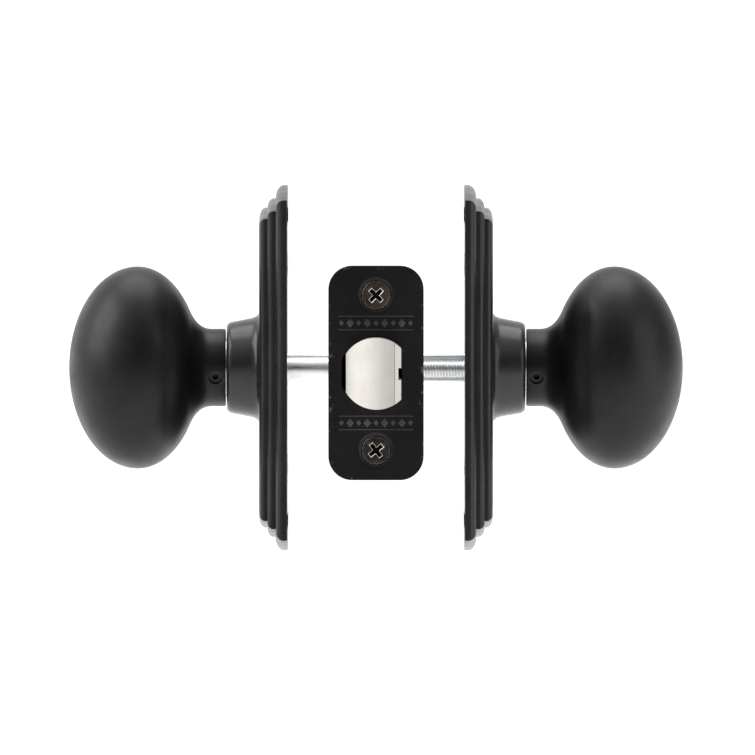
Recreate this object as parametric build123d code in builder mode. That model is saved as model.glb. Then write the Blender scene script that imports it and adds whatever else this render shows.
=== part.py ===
from build123d import *
import math
import os

# Knob set for a timber door: an egg-shaped knob and a stepped rosette on each face of the
# door, one square spindle through both, and a tubular spring latch in the door's edge.
# Frame, in millimetres: the origin is where the spindle's axis meets the latch's axis, in
# the middle of the door. +X runs along the spindle towards the inside knob, -Y points out
# of the door's edge, +Z is up. The rest pose has the latch bolt fully out.

# The door that the set is made for
DOOR_THICKNESS = 47.6
HALF_DOOR = DOOR_THICKNESS / 2
BACKSET = 60.3

# Rosette: three tiers with bowed ends, each given as (height above the door, inset of its
# edge, height of its rounded shoulder, run of its rounded shoulder)
PLATE_WIDTH = 69.8
PLATE_HEIGHT = 98.4
END_BOW_RADIUS = 169.0
TIERS = ((3.2, 0.0, 1.5, 3.4), (5.4, 3.6, 1.0, 2.3), (7.6, 6.1, 1.3, 2.9))
PLATE_FRONT = TIERS[-1][0]
# Hollow back of the rosette, as (depth from the door, inset of its wall)
POCKETS = ((2.0, 2.2), (4.2, 5.4), (6.4, 8.4))
POCKET_CORNER = 3.0
END_BOW_RISE = END_BOW_RADIUS - math.sqrt(END_BOW_RADIUS**2 - (PLATE_WIDTH / 2) ** 2)
PLATE_CORNER_HEIGHT = PLATE_HEIGHT / 2 - END_BOW_RISE

# Collar on the rosette and the bearing inside it
COLLAR_END = 16.4
COLLAR_FLARE = ((PLATE_FRONT, 14.85), (8.3, 14.05), (9.7, 13.35))
COLLAR_RIM = ((14.8, 12.4), (15.9, 11.9), (COLLAR_END, 11.05))
COLLAR_SPIGOT_RADIUS = 11.0
COLLAR_SPIGOT_BACK = 5.4
BUSHING_RADIUS = 9.4
BUSHING_FRONT = COLLAR_END - 0.2
RUNNING_CLEARANCE = 0.05
SHANK_RADIUS = 8.0
SHANK_BACK = 3.4
SHANK_FRONT = 30.0
SNAP_GROOVE_BACK = 4.0
SNAP_GROOVE_RADIUS = 7.4
SNAP_RING_THICKNESS = 0.8
SNAP_RING_RADIUS = 9.6
THRUST_WASHER_BACK = 4.85
THRUST_WASHER_FRONT = 5.35
THRUST_WASHER_RADIUS = 10.4

# Knob, measured from the face of the door
NECK_RADIUS = 10.45
NECK_BACK = COLLAR_END + 0.3
NECK_FILLET = 5.0
BULB_MIDDLE = 40.4
BULB_REAR_LENGTH = 17.0
BULB_FRONT_LENGTH = 18.5
BULB_HALF_HEIGHT = 27.25
BULB_HALF_WIDTH = 22.3
SET_SCREW_PLACE = 19.4
SET_SCREW_RADIUS = 1.75
SET_SCREW_TILT = 14.0

# Spindle
SPINDLE_WIDTH = 7.6
SPINDLE_HOLE = SPINDLE_WIDTH + 2 * RUNNING_CLEARANCE
SPINDLE_REACH = 28.0

# Mounting plates, threaded posts and through bolts
MOUNT_WIDTH = 58.0
MOUNT_HEIGHT = 78.0
MOUNT_THICKNESS = 1.5
MOUNT_CORNER = 6.0
MOUNT_MIDDLE_HOLE_RADIUS = 7.5
MOUNT_SLOT_LENGTH = 30.0
MOUNT_SLOT_WIDTH = 8.0
MOUNT_SLOT_SPACING = 54.0
POST_OFFSET = 20.0
POST_RADIUS = 3.2
THROUGH_BOLT_RADIUS = 2.4

# Return springs
CASSETTE_RADIUS = 15.6
CASSETTE_WALL = 0.7
CASSETTE_FRONT = 6.0
CASSETTE_MOUTH_RADIUS = 11.4
RETURN_COIL_RADIUS = 12.0
RETURN_COIL_HEIGHT = 1.3
RETURN_COIL_PITCH = 1.38
RETURN_WIRE_RADIUS = 0.55

# Latch
FACEPLATE_WIDTH = 25.4
FACEPLATE_HEIGHT = 57.15
FACEPLATE_CORNER = 6.35
FACEPLATE_THICKNESS = 1.6
SCREW_SPACING = 41.3
SCREW_RADIUS = 2.1
SCREW_HOLE_RADIUS = SCREW_RADIUS + 0.3
SCREW_HEAD_RADIUS = 3.75
WINDOW_RADIUS = 9.75
WINDOW_LEFT = -9.1
WINDOW_RIGHT = 6.9
BOLT_RADIUS = 9.5
BOLT_LEFT = -8.0
BOLT_RIGHT = 6.7
NOSE_WIDTH = 1.65
THROW = 12.7
KNOB_TURN = 76.0
BARREL_RADIUS = 11.1
BARREL_BORE = 9.9
BARREL_BACK = -30.0
CASE_RADIUS = 12.5
CASE_HALF_WIDTH = 5.5
CASE_BACK = 13.0
CASE_WALL = 0.7
HUB_RADIUS = 7.0
ARM_HALF_WIDTH = 1.6
ARM_TIP_RADIUS = 1.2
ARM_LENGTH = THROW / (2 * math.sin(math.radians(KNOB_TURN / 2)))
LOST_MOTION = 0.7

# Tail of the latch bolt: a strap bent round the bolt spring
TAIL_WIDTH = 6.4
TAIL_INNER = 7.4
TAIL_OUTER = 8.8
TAIL_WEB_WIDTH = 10.8
TAIL_HOLE_RADIUS = 4.6
TAIL_DEPTH = 6.0

# Planes across the latch, from the door's edge inwards
DOOR_EDGE = -BACKSET
FACEPLATE_BACK = DOOR_EDGE + FACEPLATE_THICKNESS
BACKING_BACK = FACEPLATE_BACK + FACEPLATE_THICKNESS
NOSE_FRONT = DOOR_EDGE - THROW
BOLT_BACK = -47.0
SPRING_FRONT = -62.0
SPRING_BACK = -27.0

# Spring stop
STOP_THICKNESS = 1.5
STOP_EAR_HEIGHT = 4.0

# Bolt spring
SPRING_TURNS = 9
SPRING_COIL_RADIUS = 4.0
SPRING_WIRE_RADIUS = 0.45


def across_latch(y):
    """Plane square to the latch at y: its sketch has X and Z, and it extrudes towards -Y."""
    return Plane(origin=(0, y, 0), x_dir=(1, 0, 0), z_dir=(0, -1, 0))


def across_spindle(reach):
    """Plane square to the spindle, this far outside the face of the door."""
    return Plane.YZ.offset(HALF_DOOR + reach)


def set_screw_plane():
    """Plane square to the knob's set screw, on the spindle's axis."""
    tilt = math.radians(SET_SCREW_TILT)
    outwards = (0, -math.cos(tilt), -math.sin(tilt))
    return Plane(origin=(HALF_DOOR + SET_SCREW_PLACE, 0, 0), z_dir=outwards)


def save(part, name, side=""):
    """Label a finished piece and write its STEP file."""
    label = side + name
    part.part.label = label
    export_step(part.part, "parts/" + label + ".step")


def tier_outline(edge, far):
    """Draw the rosette's stepped outline, from its edge back to the line at far."""
    end = (HALF_DOOR, far)
    for height, inset, shoulder, run in TIERS:
        front = HALF_DOOR + height
        side = edge - inset
        Polyline(end, (end[0], side), (front - shoulder, side))
        EllipticalCenterArc((front - shoulder, side - run), shoulder, run, arc_size=90)
        end = (front, side - run)
    Polyline(end, (end[0], far), (HALF_DOOR, far))


def outline(points):
    """Closed sketch through (reach from the door, radius) points, to turn about the spindle."""
    with BuildSketch() as profile:
        with BuildLine():
            Polyline(*((HALF_DOOR + reach, radius) for reach, radius in points), close=True)
        make_face()
    return profile.sketch


def ring(back, front, inner, outer):
    """Outline of a plain ring round the spindle between two reaches from the door."""
    return outline(((back, inner), (back, outer), (front, outer), (front, inner)))


def to_its_side(side):
    """Turn the finished inside piece over when it is the outside one."""
    if side == "outside_":
        mirror(about=Plane.YZ, mode=Mode.REPLACE)


def make_rosette(side):
    """Cast rosette: three tiers with bowed ends, hollow at the back."""
    with BuildPart() as rosette:
        with BuildSketch():
            with BuildLine():
                tier_outline(PLATE_WIDTH / 2, 0)
            make_face()
            mirror(about=Plane.XZ)
        extrude(amount=PLATE_HEIGHT)
        bow_middle = PLATE_HEIGHT / 2 - END_BOW_RADIUS
        with BuildSketch(Plane.XZ):
            with BuildLine():
                tier_outline(PLATE_HEIGHT / 2, bow_middle)
            make_face()
        revolve(axis=Axis((0, 0, bow_middle), (1, 0, 0)), mode=Mode.INTERSECT)
        mirror(about=Plane.XY)
        for depth, inset in POCKETS:
            with BuildSketch(across_spindle(0)):
                width = PLATE_WIDTH - 2 * inset
                RectangleRounded(width, 2 * (PLATE_CORNER_HEIGHT - inset), POCKET_CORNER)
            extrude(amount=depth, mode=Mode.SUBTRACT)
        with BuildSketch(across_spindle(0)):
            Circle(COLLAR_SPIGOT_RADIUS)
        extrude(amount=PLATE_FRONT, mode=Mode.SUBTRACT)
        to_its_side(side)
    save(rosette, "rosette", side)


def make_collar(side):
    """Turned collar, flared where it meets the rosette, staked into the rosette's hole."""
    flare = [(HALF_DOOR + reach, radius) for reach, radius in COLLAR_FLARE]
    rim = [(HALF_DOOR + reach, radius) for reach, radius in COLLAR_RIM]
    with BuildPart() as collar:
        with BuildSketch():
            with BuildLine():
                ThreePointArc(*flare)
                Line(flare[-1], rim[0])
                ThreePointArc(*rim)
                Polyline(
                    rim[-1],
                    (HALF_DOOR + COLLAR_END, BUSHING_RADIUS),
                    (HALF_DOOR + COLLAR_SPIGOT_BACK, BUSHING_RADIUS),
                    (HALF_DOOR + COLLAR_SPIGOT_BACK, COLLAR_SPIGOT_RADIUS),
                    (HALF_DOOR + PLATE_FRONT, COLLAR_SPIGOT_RADIUS),
                    flare[0],
                )
            make_face()
        revolve(axis=Axis.X)
        to_its_side(side)
    save(collar, "collar", side)


def make_bushing(side):
    """Nylon bushing that the knob's shank turns in."""
    with BuildPart() as bushing:
        inner = SHANK_RADIUS + RUNNING_CLEARANCE
        revolve(ring(COLLAR_SPIGOT_BACK, BUSHING_FRONT, inner, BUSHING_RADIUS), axis=Axis.X)
        to_its_side(side)
    save(bushing, "bushing", side)


def make_mounting_plate(side):
    """Stamped plate behind the rosette, with tabs that the rosette snaps over."""
    tab_length = 8.0
    tab_spacing = 48.0
    tab_thickness = 1.0
    tab_height = 2.4
    fixing_hole = {"outside_": POST_RADIUS, "inside_": THROUGH_BOLT_RADIUS + 0.2}[side]
    with BuildPart() as plate:
        with BuildSketch(across_spindle(0)):
            RectangleRounded(MOUNT_WIDTH, MOUNT_HEIGHT, MOUNT_CORNER)
            Circle(MOUNT_MIDDLE_HOLE_RADIUS, mode=Mode.SUBTRACT)
            with GridLocations(2 * POST_OFFSET, 1, 2, 1):
                Circle(fixing_hole, mode=Mode.SUBTRACT)
            with GridLocations(1, MOUNT_SLOT_SPACING, 1, 2):
                SlotOverall(MOUNT_SLOT_LENGTH, MOUNT_SLOT_WIDTH, mode=Mode.SUBTRACT)
        extrude(amount=MOUNT_THICKNESS)
        with BuildSketch(across_spindle(MOUNT_THICKNESS)):
            with GridLocations(MOUNT_WIDTH - tab_thickness, tab_spacing, 2, 2):
                Rectangle(tab_thickness, tab_length)
        extrude(amount=tab_height)
        to_its_side(side)
    save(plate, "mounting_plate", side)


def make_cassette(side):
    """Round cup on the mounting plate that holds the return spring."""
    inside = CASSETTE_RADIUS - CASSETTE_WALL
    floor = CASSETTE_FRONT - CASSETTE_WALL
    with BuildPart() as cassette:
        profile = outline(
            (
                (MOUNT_THICKNESS, inside),
                (MOUNT_THICKNESS, CASSETTE_RADIUS),
                (CASSETTE_FRONT, CASSETTE_RADIUS),
                (CASSETTE_FRONT, CASSETTE_MOUTH_RADIUS),
                (floor, CASSETTE_MOUTH_RADIUS),
                (floor, inside),
            )
        )
        revolve(profile, axis=Axis.X)
        to_its_side(side)
    save(cassette, "spring_cassette", side)


def make_return_spring(side):
    """One-turn torsion spring with two legs that stand each side of the cam's finger."""
    coil_back = 3.2
    leg_length = 2.4
    with BuildPart() as spring:
        with BuildLine() as coil:
            Helix(
                RETURN_COIL_PITCH,
                RETURN_COIL_HEIGHT,
                RETURN_COIL_RADIUS,
                center=(HALF_DOOR + coil_back, 0, 0),
                direction=(1, 0, 0),
            )
        with BuildSketch(Plane(origin=coil.line @ 0, z_dir=coil.line % 0)):
            Circle(RETURN_WIRE_RADIUS)
        sweep()
        for near_end in (0.004, 0.996):
            root = coil.line @ near_end
            outwards = Vector(0, root.Y, root.Z).normalized()
            with BuildSketch(Plane(origin=root, z_dir=outwards)):
                Circle(RETURN_WIRE_RADIUS)
            extrude(amount=leg_length)
        to_its_side(side)
    save(spring, "return_spring", side)


def make_drive_cam(side):
    """Disc on the spindle, with a finger that winds the return spring up."""
    cam_back = 1.7
    cam_radius = 10.9
    cam_thickness = 1.4
    finger_width = 3.2
    finger_steps = ((12.0, 5.0, 0.7), (13.8, 1.4, 3.2))
    half_gap = 180 * (1 - RETURN_COIL_HEIGHT / RETURN_COIL_PITCH)
    with BuildPart() as cam:
        with BuildSketch(across_spindle(cam_back)):
            Circle(cam_radius)
            Rectangle(SPINDLE_HOLE, SPINDLE_HOLE, mode=Mode.SUBTRACT)
        extrude(amount=cam_thickness)
        for middle, length, height in finger_steps:
            with BuildSketch(across_spindle(cam_back)):
                with Locations(Rotation(0, 0, -half_gap)):
                    with Locations((0, middle)):
                        Rectangle(finger_width, length)
            extrude(amount=height)
        to_its_side(side)
    save(cam, "drive_cam", side)


def make_knob(side):
    """Egg-shaped knob, taller than it is wide, on a round neck."""
    middle = HALF_DOOR + BULB_MIDDLE
    with BuildPart() as knob:
        with BuildSketch():
            with BuildLine():
                EllipticalCenterArc((middle, 0), BULB_FRONT_LENGTH, BULB_HALF_HEIGHT, arc_size=90)
                EllipticalCenterArc(
                    (middle, 0), BULB_REAR_LENGTH, BULB_HALF_HEIGHT, start_angle=90, arc_size=90
                )
                Line((middle - BULB_REAR_LENGTH, 0), (middle + BULB_FRONT_LENGTH, 0))
            make_face()
        revolve(axis=Axis.X)
        scale(by=(1, BULB_HALF_WIDTH / BULB_HALF_HEIGHT, 1))
        with BuildSketch(across_spindle(NECK_BACK)):
            Circle(NECK_RADIUS)
        extrude(amount=BULB_MIDDLE - NECK_BACK)
        fillet(knob.edges().filter_by(GeomType.BSPLINE).sort_by(Axis.X)[0], NECK_FILLET)
        with BuildSketch(across_spindle(NECK_BACK)):
            Circle(SHANK_RADIUS)
        extrude(amount=SHANK_FRONT - NECK_BACK, mode=Mode.SUBTRACT)
        with BuildSketch(set_screw_plane()):
            Circle(SET_SCREW_RADIUS + RUNNING_CLEARANCE)
        extrude(amount=NECK_RADIUS + 2, mode=Mode.SUBTRACT)
        to_its_side(side)
    save(knob, "knob", side)


def make_shank(side):
    """Steel shank pressed into the knob, with a square hole for the spindle."""
    with BuildPart() as shank:
        revolve(ring(SHANK_BACK, SHANK_FRONT, 0, SHANK_RADIUS), axis=Axis.X)
        with BuildSketch(across_spindle(SHANK_BACK)):
            Rectangle(SPINDLE_HOLE, SPINDLE_HOLE)
        extrude(amount=SHANK_FRONT - SHANK_BACK, mode=Mode.SUBTRACT)
        with BuildSketch(across_spindle(SNAP_GROOVE_BACK)):
            Circle(SHANK_RADIUS + 1)
            Circle(SNAP_GROOVE_RADIUS, mode=Mode.SUBTRACT)
        extrude(amount=SNAP_RING_THICKNESS, mode=Mode.SUBTRACT)
        with BuildSketch(set_screw_plane()):
            Circle(SET_SCREW_RADIUS + RUNNING_CLEARANCE)
        extrude(amount=SHANK_RADIUS + 2, mode=Mode.SUBTRACT)
        to_its_side(side)
    save(shank, "knob_shank", side)


def make_snap_ring(side):
    """Open ring in the shank's groove that keeps the knob on the rosette."""
    mouth_width = 6.0
    mouth_depth = 4.0
    with BuildPart() as snap_ring:
        with BuildSketch(across_spindle(SNAP_GROOVE_BACK)):
            Circle(SNAP_RING_RADIUS)
            Circle(SNAP_GROOVE_RADIUS, mode=Mode.SUBTRACT)
            with Locations((0, -(SNAP_GROOVE_RADIUS + SNAP_RING_RADIUS) / 2)):
                Rectangle(mouth_width, mouth_depth, mode=Mode.SUBTRACT)
        extrude(amount=SNAP_RING_THICKNESS)
        to_its_side(side)
    save(snap_ring, "snap_ring", side)


def make_thrust_washer(side):
    """Washer between the snap ring and the end of the bushing."""
    inner = SHANK_RADIUS + RUNNING_CLEARANCE
    with BuildPart() as washer:
        section = ring(THRUST_WASHER_BACK, THRUST_WASHER_FRONT, inner, THRUST_WASHER_RADIUS)
        revolve(section, axis=Axis.X)
        to_its_side(side)
    save(washer, "thrust_washer", side)


def make_set_screw(side):
    """Hexagon-socket set screw that holds the knob on the spindle."""
    tip = 4.4
    head = 9.3
    socket_width = 1.6
    socket_depth = 2.0
    point = 0.8
    with BuildPart() as set_screw:
        with BuildSketch(set_screw_plane().offset(tip)):
            Circle(SET_SCREW_RADIUS)
        extrude(amount=head - tip)
        chamfer(set_screw.edges().sort_by(Axis.Y)[-1], point)
        with BuildSketch(set_screw_plane().offset(head)):
            RegularPolygon(socket_width / 2, 6, major_radius=False)
        extrude(amount=-socket_depth, mode=Mode.SUBTRACT)
        to_its_side(side)
    save(set_screw, "set_screw", side)


def make_spindle():
    """Square spindle through the latch and both knobs."""
    length = 2 * (HALF_DOOR + SPINDLE_REACH)
    corner = 0.4
    with BuildPart() as spindle:
        Box(length, SPINDLE_WIDTH, SPINDLE_WIDTH)
        chamfer(spindle.edges().filter_by(Axis.X), corner)
    save(spindle, "spindle")


def make_threaded_posts():
    """Two tapped posts that stand on the outside mounting plate."""
    post_end = 8.0
    tapped_depth = 24.0
    with BuildPart() as posts:
        with BuildSketch(Plane.YZ.offset(-HALF_DOOR)):
            with GridLocations(2 * POST_OFFSET, 1, 2, 1):
                Circle(POST_RADIUS)
        extrude(amount=HALF_DOOR + post_end)
        with BuildSketch(Plane.YZ.offset(post_end)):
            with GridLocations(2 * POST_OFFSET, 1, 2, 1):
                Circle(THROUGH_BOLT_RADIUS + RUNNING_CLEARANCE)
        extrude(amount=-tapped_depth, mode=Mode.SUBTRACT)
    save(posts, "threaded_posts")


def make_through_bolts():
    """Two machine screws from the inside mounting plate into the posts."""
    length = 38.0
    head_radius = 4.0
    head_height = 2.6
    head_round = 1.2
    slot_length = 4.4
    slot_width = 1.0
    slot_depth = 1.6
    with BuildPart() as bolts:
        with BuildSketch(across_spindle(MOUNT_THICKNESS)):
            with GridLocations(2 * POST_OFFSET, 1, 2, 1):
                Circle(THROUGH_BOLT_RADIUS)
        extrude(amount=-length)
        with BuildSketch(across_spindle(MOUNT_THICKNESS)):
            with GridLocations(2 * POST_OFFSET, 1, 2, 1):
                Circle(head_radius)
        extrude(amount=head_height)
        fillet(bolts.edges().filter_by(GeomType.CIRCLE).group_by(Axis.X)[-1], head_round)
        with BuildSketch(across_spindle(MOUNT_THICKNESS + head_height)):
            with GridLocations(2 * POST_OFFSET, 1, 2, 1):
                Rectangle(slot_length, slot_width)
                Rectangle(slot_width, slot_length)
        extrude(amount=-slot_depth, mode=Mode.SUBTRACT)
    save(bolts, "through_bolts")


def window():
    """Draw the opening that the latch bolt slides through."""
    Circle(WINDOW_RADIUS)
    with Locations(((WINDOW_LEFT + WINDOW_RIGHT) / 2, 0)):
        Rectangle(WINDOW_RIGHT - WINDOW_LEFT, 3 * WINDOW_RADIUS, mode=Mode.INTERSECT)


def screw_row():
    """Places of the two faceplate screws."""
    return GridLocations(1, SCREW_SPACING, 1, 2)


def make_faceplate():
    """Faceplate with a window for the bolt and two countersunk screw holes."""
    with BuildPart() as faceplate:
        with BuildSketch(across_latch(FACEPLATE_BACK)):
            RectangleRounded(FACEPLATE_WIDTH, FACEPLATE_HEIGHT, FACEPLATE_CORNER)
        extrude(amount=FACEPLATE_THICKNESS)
        with BuildSketch(across_latch(FACEPLATE_BACK)):
            window()
        extrude(amount=FACEPLATE_THICKNESS, mode=Mode.SUBTRACT)
        with Locations(across_latch(DOOR_EDGE)):
            with screw_row():
                CounterSinkHole(SCREW_HOLE_RADIUS, SCREW_HEAD_RADIUS + 0.25, counter_sink_angle=90)
    save(faceplate, "faceplate")


def make_backing_plate():
    """Plate behind the faceplate, staked to the latch barrel."""
    with BuildPart() as backing:
        with BuildSketch(across_latch(BACKING_BACK)):
            RectangleRounded(FACEPLATE_WIDTH, FACEPLATE_HEIGHT, FACEPLATE_CORNER)
            Circle(BARREL_RADIUS + RUNNING_CLEARANCE, mode=Mode.SUBTRACT)
            with screw_row():
                Circle(SCREW_HOLE_RADIUS, mode=Mode.SUBTRACT)
        extrude(amount=FACEPLATE_THICKNESS)
    save(backing, "backing_plate")


def make_faceplate_screws():
    """Two countersunk wood screws, each with a cross recess and a neck inside the plates."""
    neck_radius = SCREW_RADIUS - 0.2
    neck_front = DOOR_EDGE + SCREW_HEAD_RADIUS - neck_radius
    shank_end = -43.0
    point = -39.5
    point_radius = 0.3
    recess_length = 4.2
    recess_width = 0.9
    recess_depth = 1.5
    with BuildPart() as screws:
        for height in (-SCREW_SPACING / 2, SCREW_SPACING / 2):
            axis = Axis((0, 0, height), (0, 1, 0))
            with BuildSketch(Plane.YZ):
                with BuildLine():
                    Polyline(
                        (DOOR_EDGE, height),
                        (DOOR_EDGE, height + SCREW_HEAD_RADIUS),
                        (neck_front, height + neck_radius),
                        (BACKING_BACK, height + neck_radius),
                        (BACKING_BACK, height + SCREW_RADIUS),
                        (shank_end, height + SCREW_RADIUS),
                        (point, height + point_radius),
                        (point, height),
                        close=True,
                    )
                make_face()
            revolve(axis=axis)
        with BuildSketch(across_latch(DOOR_EDGE)):
            with screw_row():
                Rectangle(recess_length, recess_width, rotation=45)
                Rectangle(recess_length, recess_width, rotation=-45)
        extrude(amount=-recess_depth, mode=Mode.SUBTRACT)
    save(screws, "faceplate_screws")


def make_latch_barrel():
    """Tube that the latch bolt slides in."""
    with BuildPart() as barrel:
        with BuildSketch(across_latch(BARREL_BACK)):
            Circle(BARREL_RADIUS)
            Circle(BARREL_BORE, mode=Mode.SUBTRACT)
        extrude(amount=BARREL_BACK - FACEPLATE_BACK)
    save(barrel, "latch_barrel")


def make_case_half(name):
    """Half of the case round the latch's hub, with a sleeve over the barrel's end."""
    sleeve_length = 6.0
    sleeve_radius = BARREL_RADIUS + 1
    post_clearance = 0.4
    wall_front = BARREL_BACK + 1.0
    cavity_back = CASE_BACK - CASE_WALL
    with BuildPart() as case:
        with BuildSketch(across_latch(CASE_BACK)):
            Circle(CASE_RADIUS)
            Rectangle(2 * CASE_HALF_WIDTH, 3 * CASE_RADIUS, mode=Mode.INTERSECT)
        extrude(amount=CASE_BACK - BARREL_BACK)
        with BuildSketch(across_latch(cavity_back)):
            Circle(CASE_RADIUS - CASE_WALL)
            Rectangle(2 * (CASE_HALF_WIDTH - CASE_WALL), 3 * CASE_RADIUS, mode=Mode.INTERSECT)
        extrude(amount=cavity_back - wall_front, mode=Mode.SUBTRACT)
        with BuildSketch(across_latch(wall_front)):
            Circle(sleeve_radius)
        extrude(amount=wall_front - BARREL_BACK + sleeve_length)
        with BuildSketch(across_latch(wall_front)):
            Circle(BARREL_BORE)
            Rectangle(2 * (CASE_HALF_WIDTH - CASE_WALL), 3 * BARREL_BORE, mode=Mode.INTERSECT)
        extrude(amount=wall_front - BARREL_BACK, mode=Mode.SUBTRACT)
        with BuildSketch(across_latch(BARREL_BACK)):
            Circle(BARREL_RADIUS)
        extrude(amount=sleeve_length, mode=Mode.SUBTRACT)
        with BuildSketch(Plane.YZ):
            Circle(HUB_RADIUS + RUNNING_CLEARANCE)
            with Locations((-POST_OFFSET, 0)):
                Circle(POST_RADIUS + post_clearance)
            with Locations((SPRING_BACK + STOP_THICKNESS / 2, 0)):
                Rectangle(STOP_THICKNESS, STOP_EAR_HEIGHT)
        extrude(amount=CASE_RADIUS, both=True, mode=Mode.SUBTRACT)
        split(bisect_by=Plane.YZ, keep=Keep.TOP)
        if name == "latch_case_left":
            mirror(about=Plane.YZ, mode=Mode.REPLACE)
    save(case, name)


def make_spring_stop():
    """Cross plate that the bolt spring pushes on, with a stub inside the spring."""
    body_width = 2 * (CASE_HALF_WIDTH - CASE_WALL) - 0.1
    body_height = 13.0
    stub_radius = 3.0
    stub_length = 8.0
    with BuildPart() as stop:
        with BuildSketch(across_latch(SPRING_BACK + STOP_THICKNESS)):
            Rectangle(body_width, body_height)
            Rectangle(2 * CASE_HALF_WIDTH, STOP_EAR_HEIGHT)
        extrude(amount=STOP_THICKNESS)
        with BuildSketch(across_latch(SPRING_BACK)):
            Circle(stub_radius)
        extrude(amount=stub_length)
    save(stop, "spring_stop")


def make_bolt_spring():
    """Compression spring that pushes the latch bolt out."""
    length = SPRING_BACK - SPRING_FRONT - 2 * SPRING_WIRE_RADIUS
    with BuildPart() as spring:
        with BuildLine() as coil:
            Helix(
                length / SPRING_TURNS,
                length,
                SPRING_COIL_RADIUS,
                center=(0, SPRING_FRONT + SPRING_WIRE_RADIUS, 0),
                direction=(0, 1, 0),
            )
        with BuildSketch(Plane(origin=coil.line @ 0, z_dir=coil.line % 0)):
            Circle(SPRING_WIRE_RADIUS)
        sweep()
    save(spring, "bolt_spring")


def make_latch_bolt():
    """Sloped latch bolt with flats on two sides, a grooved strike side and a slotted tail."""
    slope_foot = DOOR_EDGE - 2.2
    slope_middle = (-2.6, -69.5)
    groove_width = 3.2
    groove_depth = 0.75
    nose_edge = BOLT_RIGHT - NOSE_WIDTH
    fit = 2 * RUNNING_CLEARANCE
    with BuildPart() as bolt:
        with BuildSketch(across_latch(BOLT_BACK)):
            Circle(BOLT_RADIUS)
            with Locations(((BOLT_LEFT + BOLT_RIGHT) / 2, 0)):
                Rectangle(BOLT_RIGHT - BOLT_LEFT, 3 * BOLT_RADIUS, mode=Mode.INTERSECT)
            with Locations((BOLT_RIGHT, 0)):
                Rectangle(2 * groove_depth, groove_width, mode=Mode.SUBTRACT)
        extrude(amount=BOLT_BACK - NOSE_FRONT)
        with BuildSketch():
            with BuildLine():
                ThreePointArc((nose_edge, NOSE_FRONT), slope_middle, (BOLT_LEFT, slope_foot))
                Polyline(
                    (BOLT_LEFT, slope_foot),
                    (BOLT_LEFT - 1, slope_foot),
                    (BOLT_LEFT - 1, NOSE_FRONT - 1),
                    (nose_edge, NOSE_FRONT - 1),
                    (nose_edge, NOSE_FRONT),
                )
            make_face()
        extrude(amount=BOLT_RADIUS + 1, both=True, mode=Mode.SUBTRACT)
        with BuildSketch(across_latch(BOLT_BACK)):
            Rectangle(TAIL_WEB_WIDTH + fit, 2 * TAIL_OUTER + fit)
        extrude(amount=TAIL_DEPTH + fit, mode=Mode.SUBTRACT)
        with BuildSketch(across_latch(BOLT_BACK)):
            Circle(TAIL_HOLE_RADIUS + 0.2)
        extrude(amount=BOLT_BACK - SPRING_FRONT, mode=Mode.SUBTRACT)
    save(bolt, "latch_bolt")


def make_bolt_tail():
    """Forked strap from the bolt to the hub, with a lug on each leg for the hub's arm."""
    web_front = BOLT_BACK - TAIL_DEPTH
    web_thickness = 1.5
    slot_front = -25.0
    lug_height = 1.8
    lug_length = 2.2
    lug_front = LOST_MOTION + ARM_TIP_RADIUS - THROW / 2
    lug_back = lug_front + lug_length
    arm_clearance = 0.4
    slot_width = 2 * (ARM_HALF_WIDTH + arm_clearance)
    with BuildPart() as tail:
        with BuildSketch(across_latch(lug_back)):
            Rectangle(TAIL_WIDTH, 2 * TAIL_OUTER)
            Rectangle(TAIL_WIDTH, 2 * TAIL_INNER, mode=Mode.SUBTRACT)
        extrude(amount=lug_back - web_front)
        with BuildSketch(across_latch(lug_back)):
            Rectangle(slot_width, 3 * TAIL_OUTER)
        extrude(amount=lug_back - slot_front, mode=Mode.SUBTRACT)
        with BuildSketch(across_latch(web_front + web_thickness)):
            Rectangle(TAIL_WEB_WIDTH, 2 * TAIL_OUTER)
            Circle(BOLT_RADIUS - 2 * RUNNING_CLEARANCE, mode=Mode.INTERSECT)
            Circle(TAIL_HOLE_RADIUS, mode=Mode.SUBTRACT)
        extrude(amount=web_thickness)
        with BuildSketch(across_latch(lug_back)):
            with GridLocations(1, 2 * TAIL_OUTER + lug_height, 1, 2):
                Rectangle(TAIL_WIDTH, lug_height)
        extrude(amount=lug_length)
    save(tail, "bolt_tail")


def make_latch_hub():
    """Hub that the spindle turns, with an arm for each leg of the bolt's tail."""
    journal = CASE_HALF_WIDTH + 0.4
    with BuildPart() as hub:
        with BuildSketch(Plane.YZ.offset(-journal)):
            Circle(HUB_RADIUS)
        extrude(amount=2 * journal)
        for lean in (KNOB_TURN / 2, -KNOB_TURN / 2):
            with BuildSketch(Plane.YZ.offset(-ARM_HALF_WIDTH)):
                reach = 1 if lean > 0 else -1
                with Locations(Rotation(0, 0, lean)):
                    with Locations((0, reach * ARM_LENGTH / 2)):
                        Rectangle(2 * ARM_TIP_RADIUS, ARM_LENGTH)
                    with Locations((0, reach * ARM_LENGTH)):
                        Circle(ARM_TIP_RADIUS)
            extrude(amount=2 * ARM_HALF_WIDTH)
        with BuildSketch(Plane.YZ.offset(-journal)):
            Rectangle(SPINDLE_HOLE, SPINDLE_HOLE)
        extrude(amount=2 * journal, mode=Mode.SUBTRACT)
    save(hub, "latch_hub")


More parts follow.
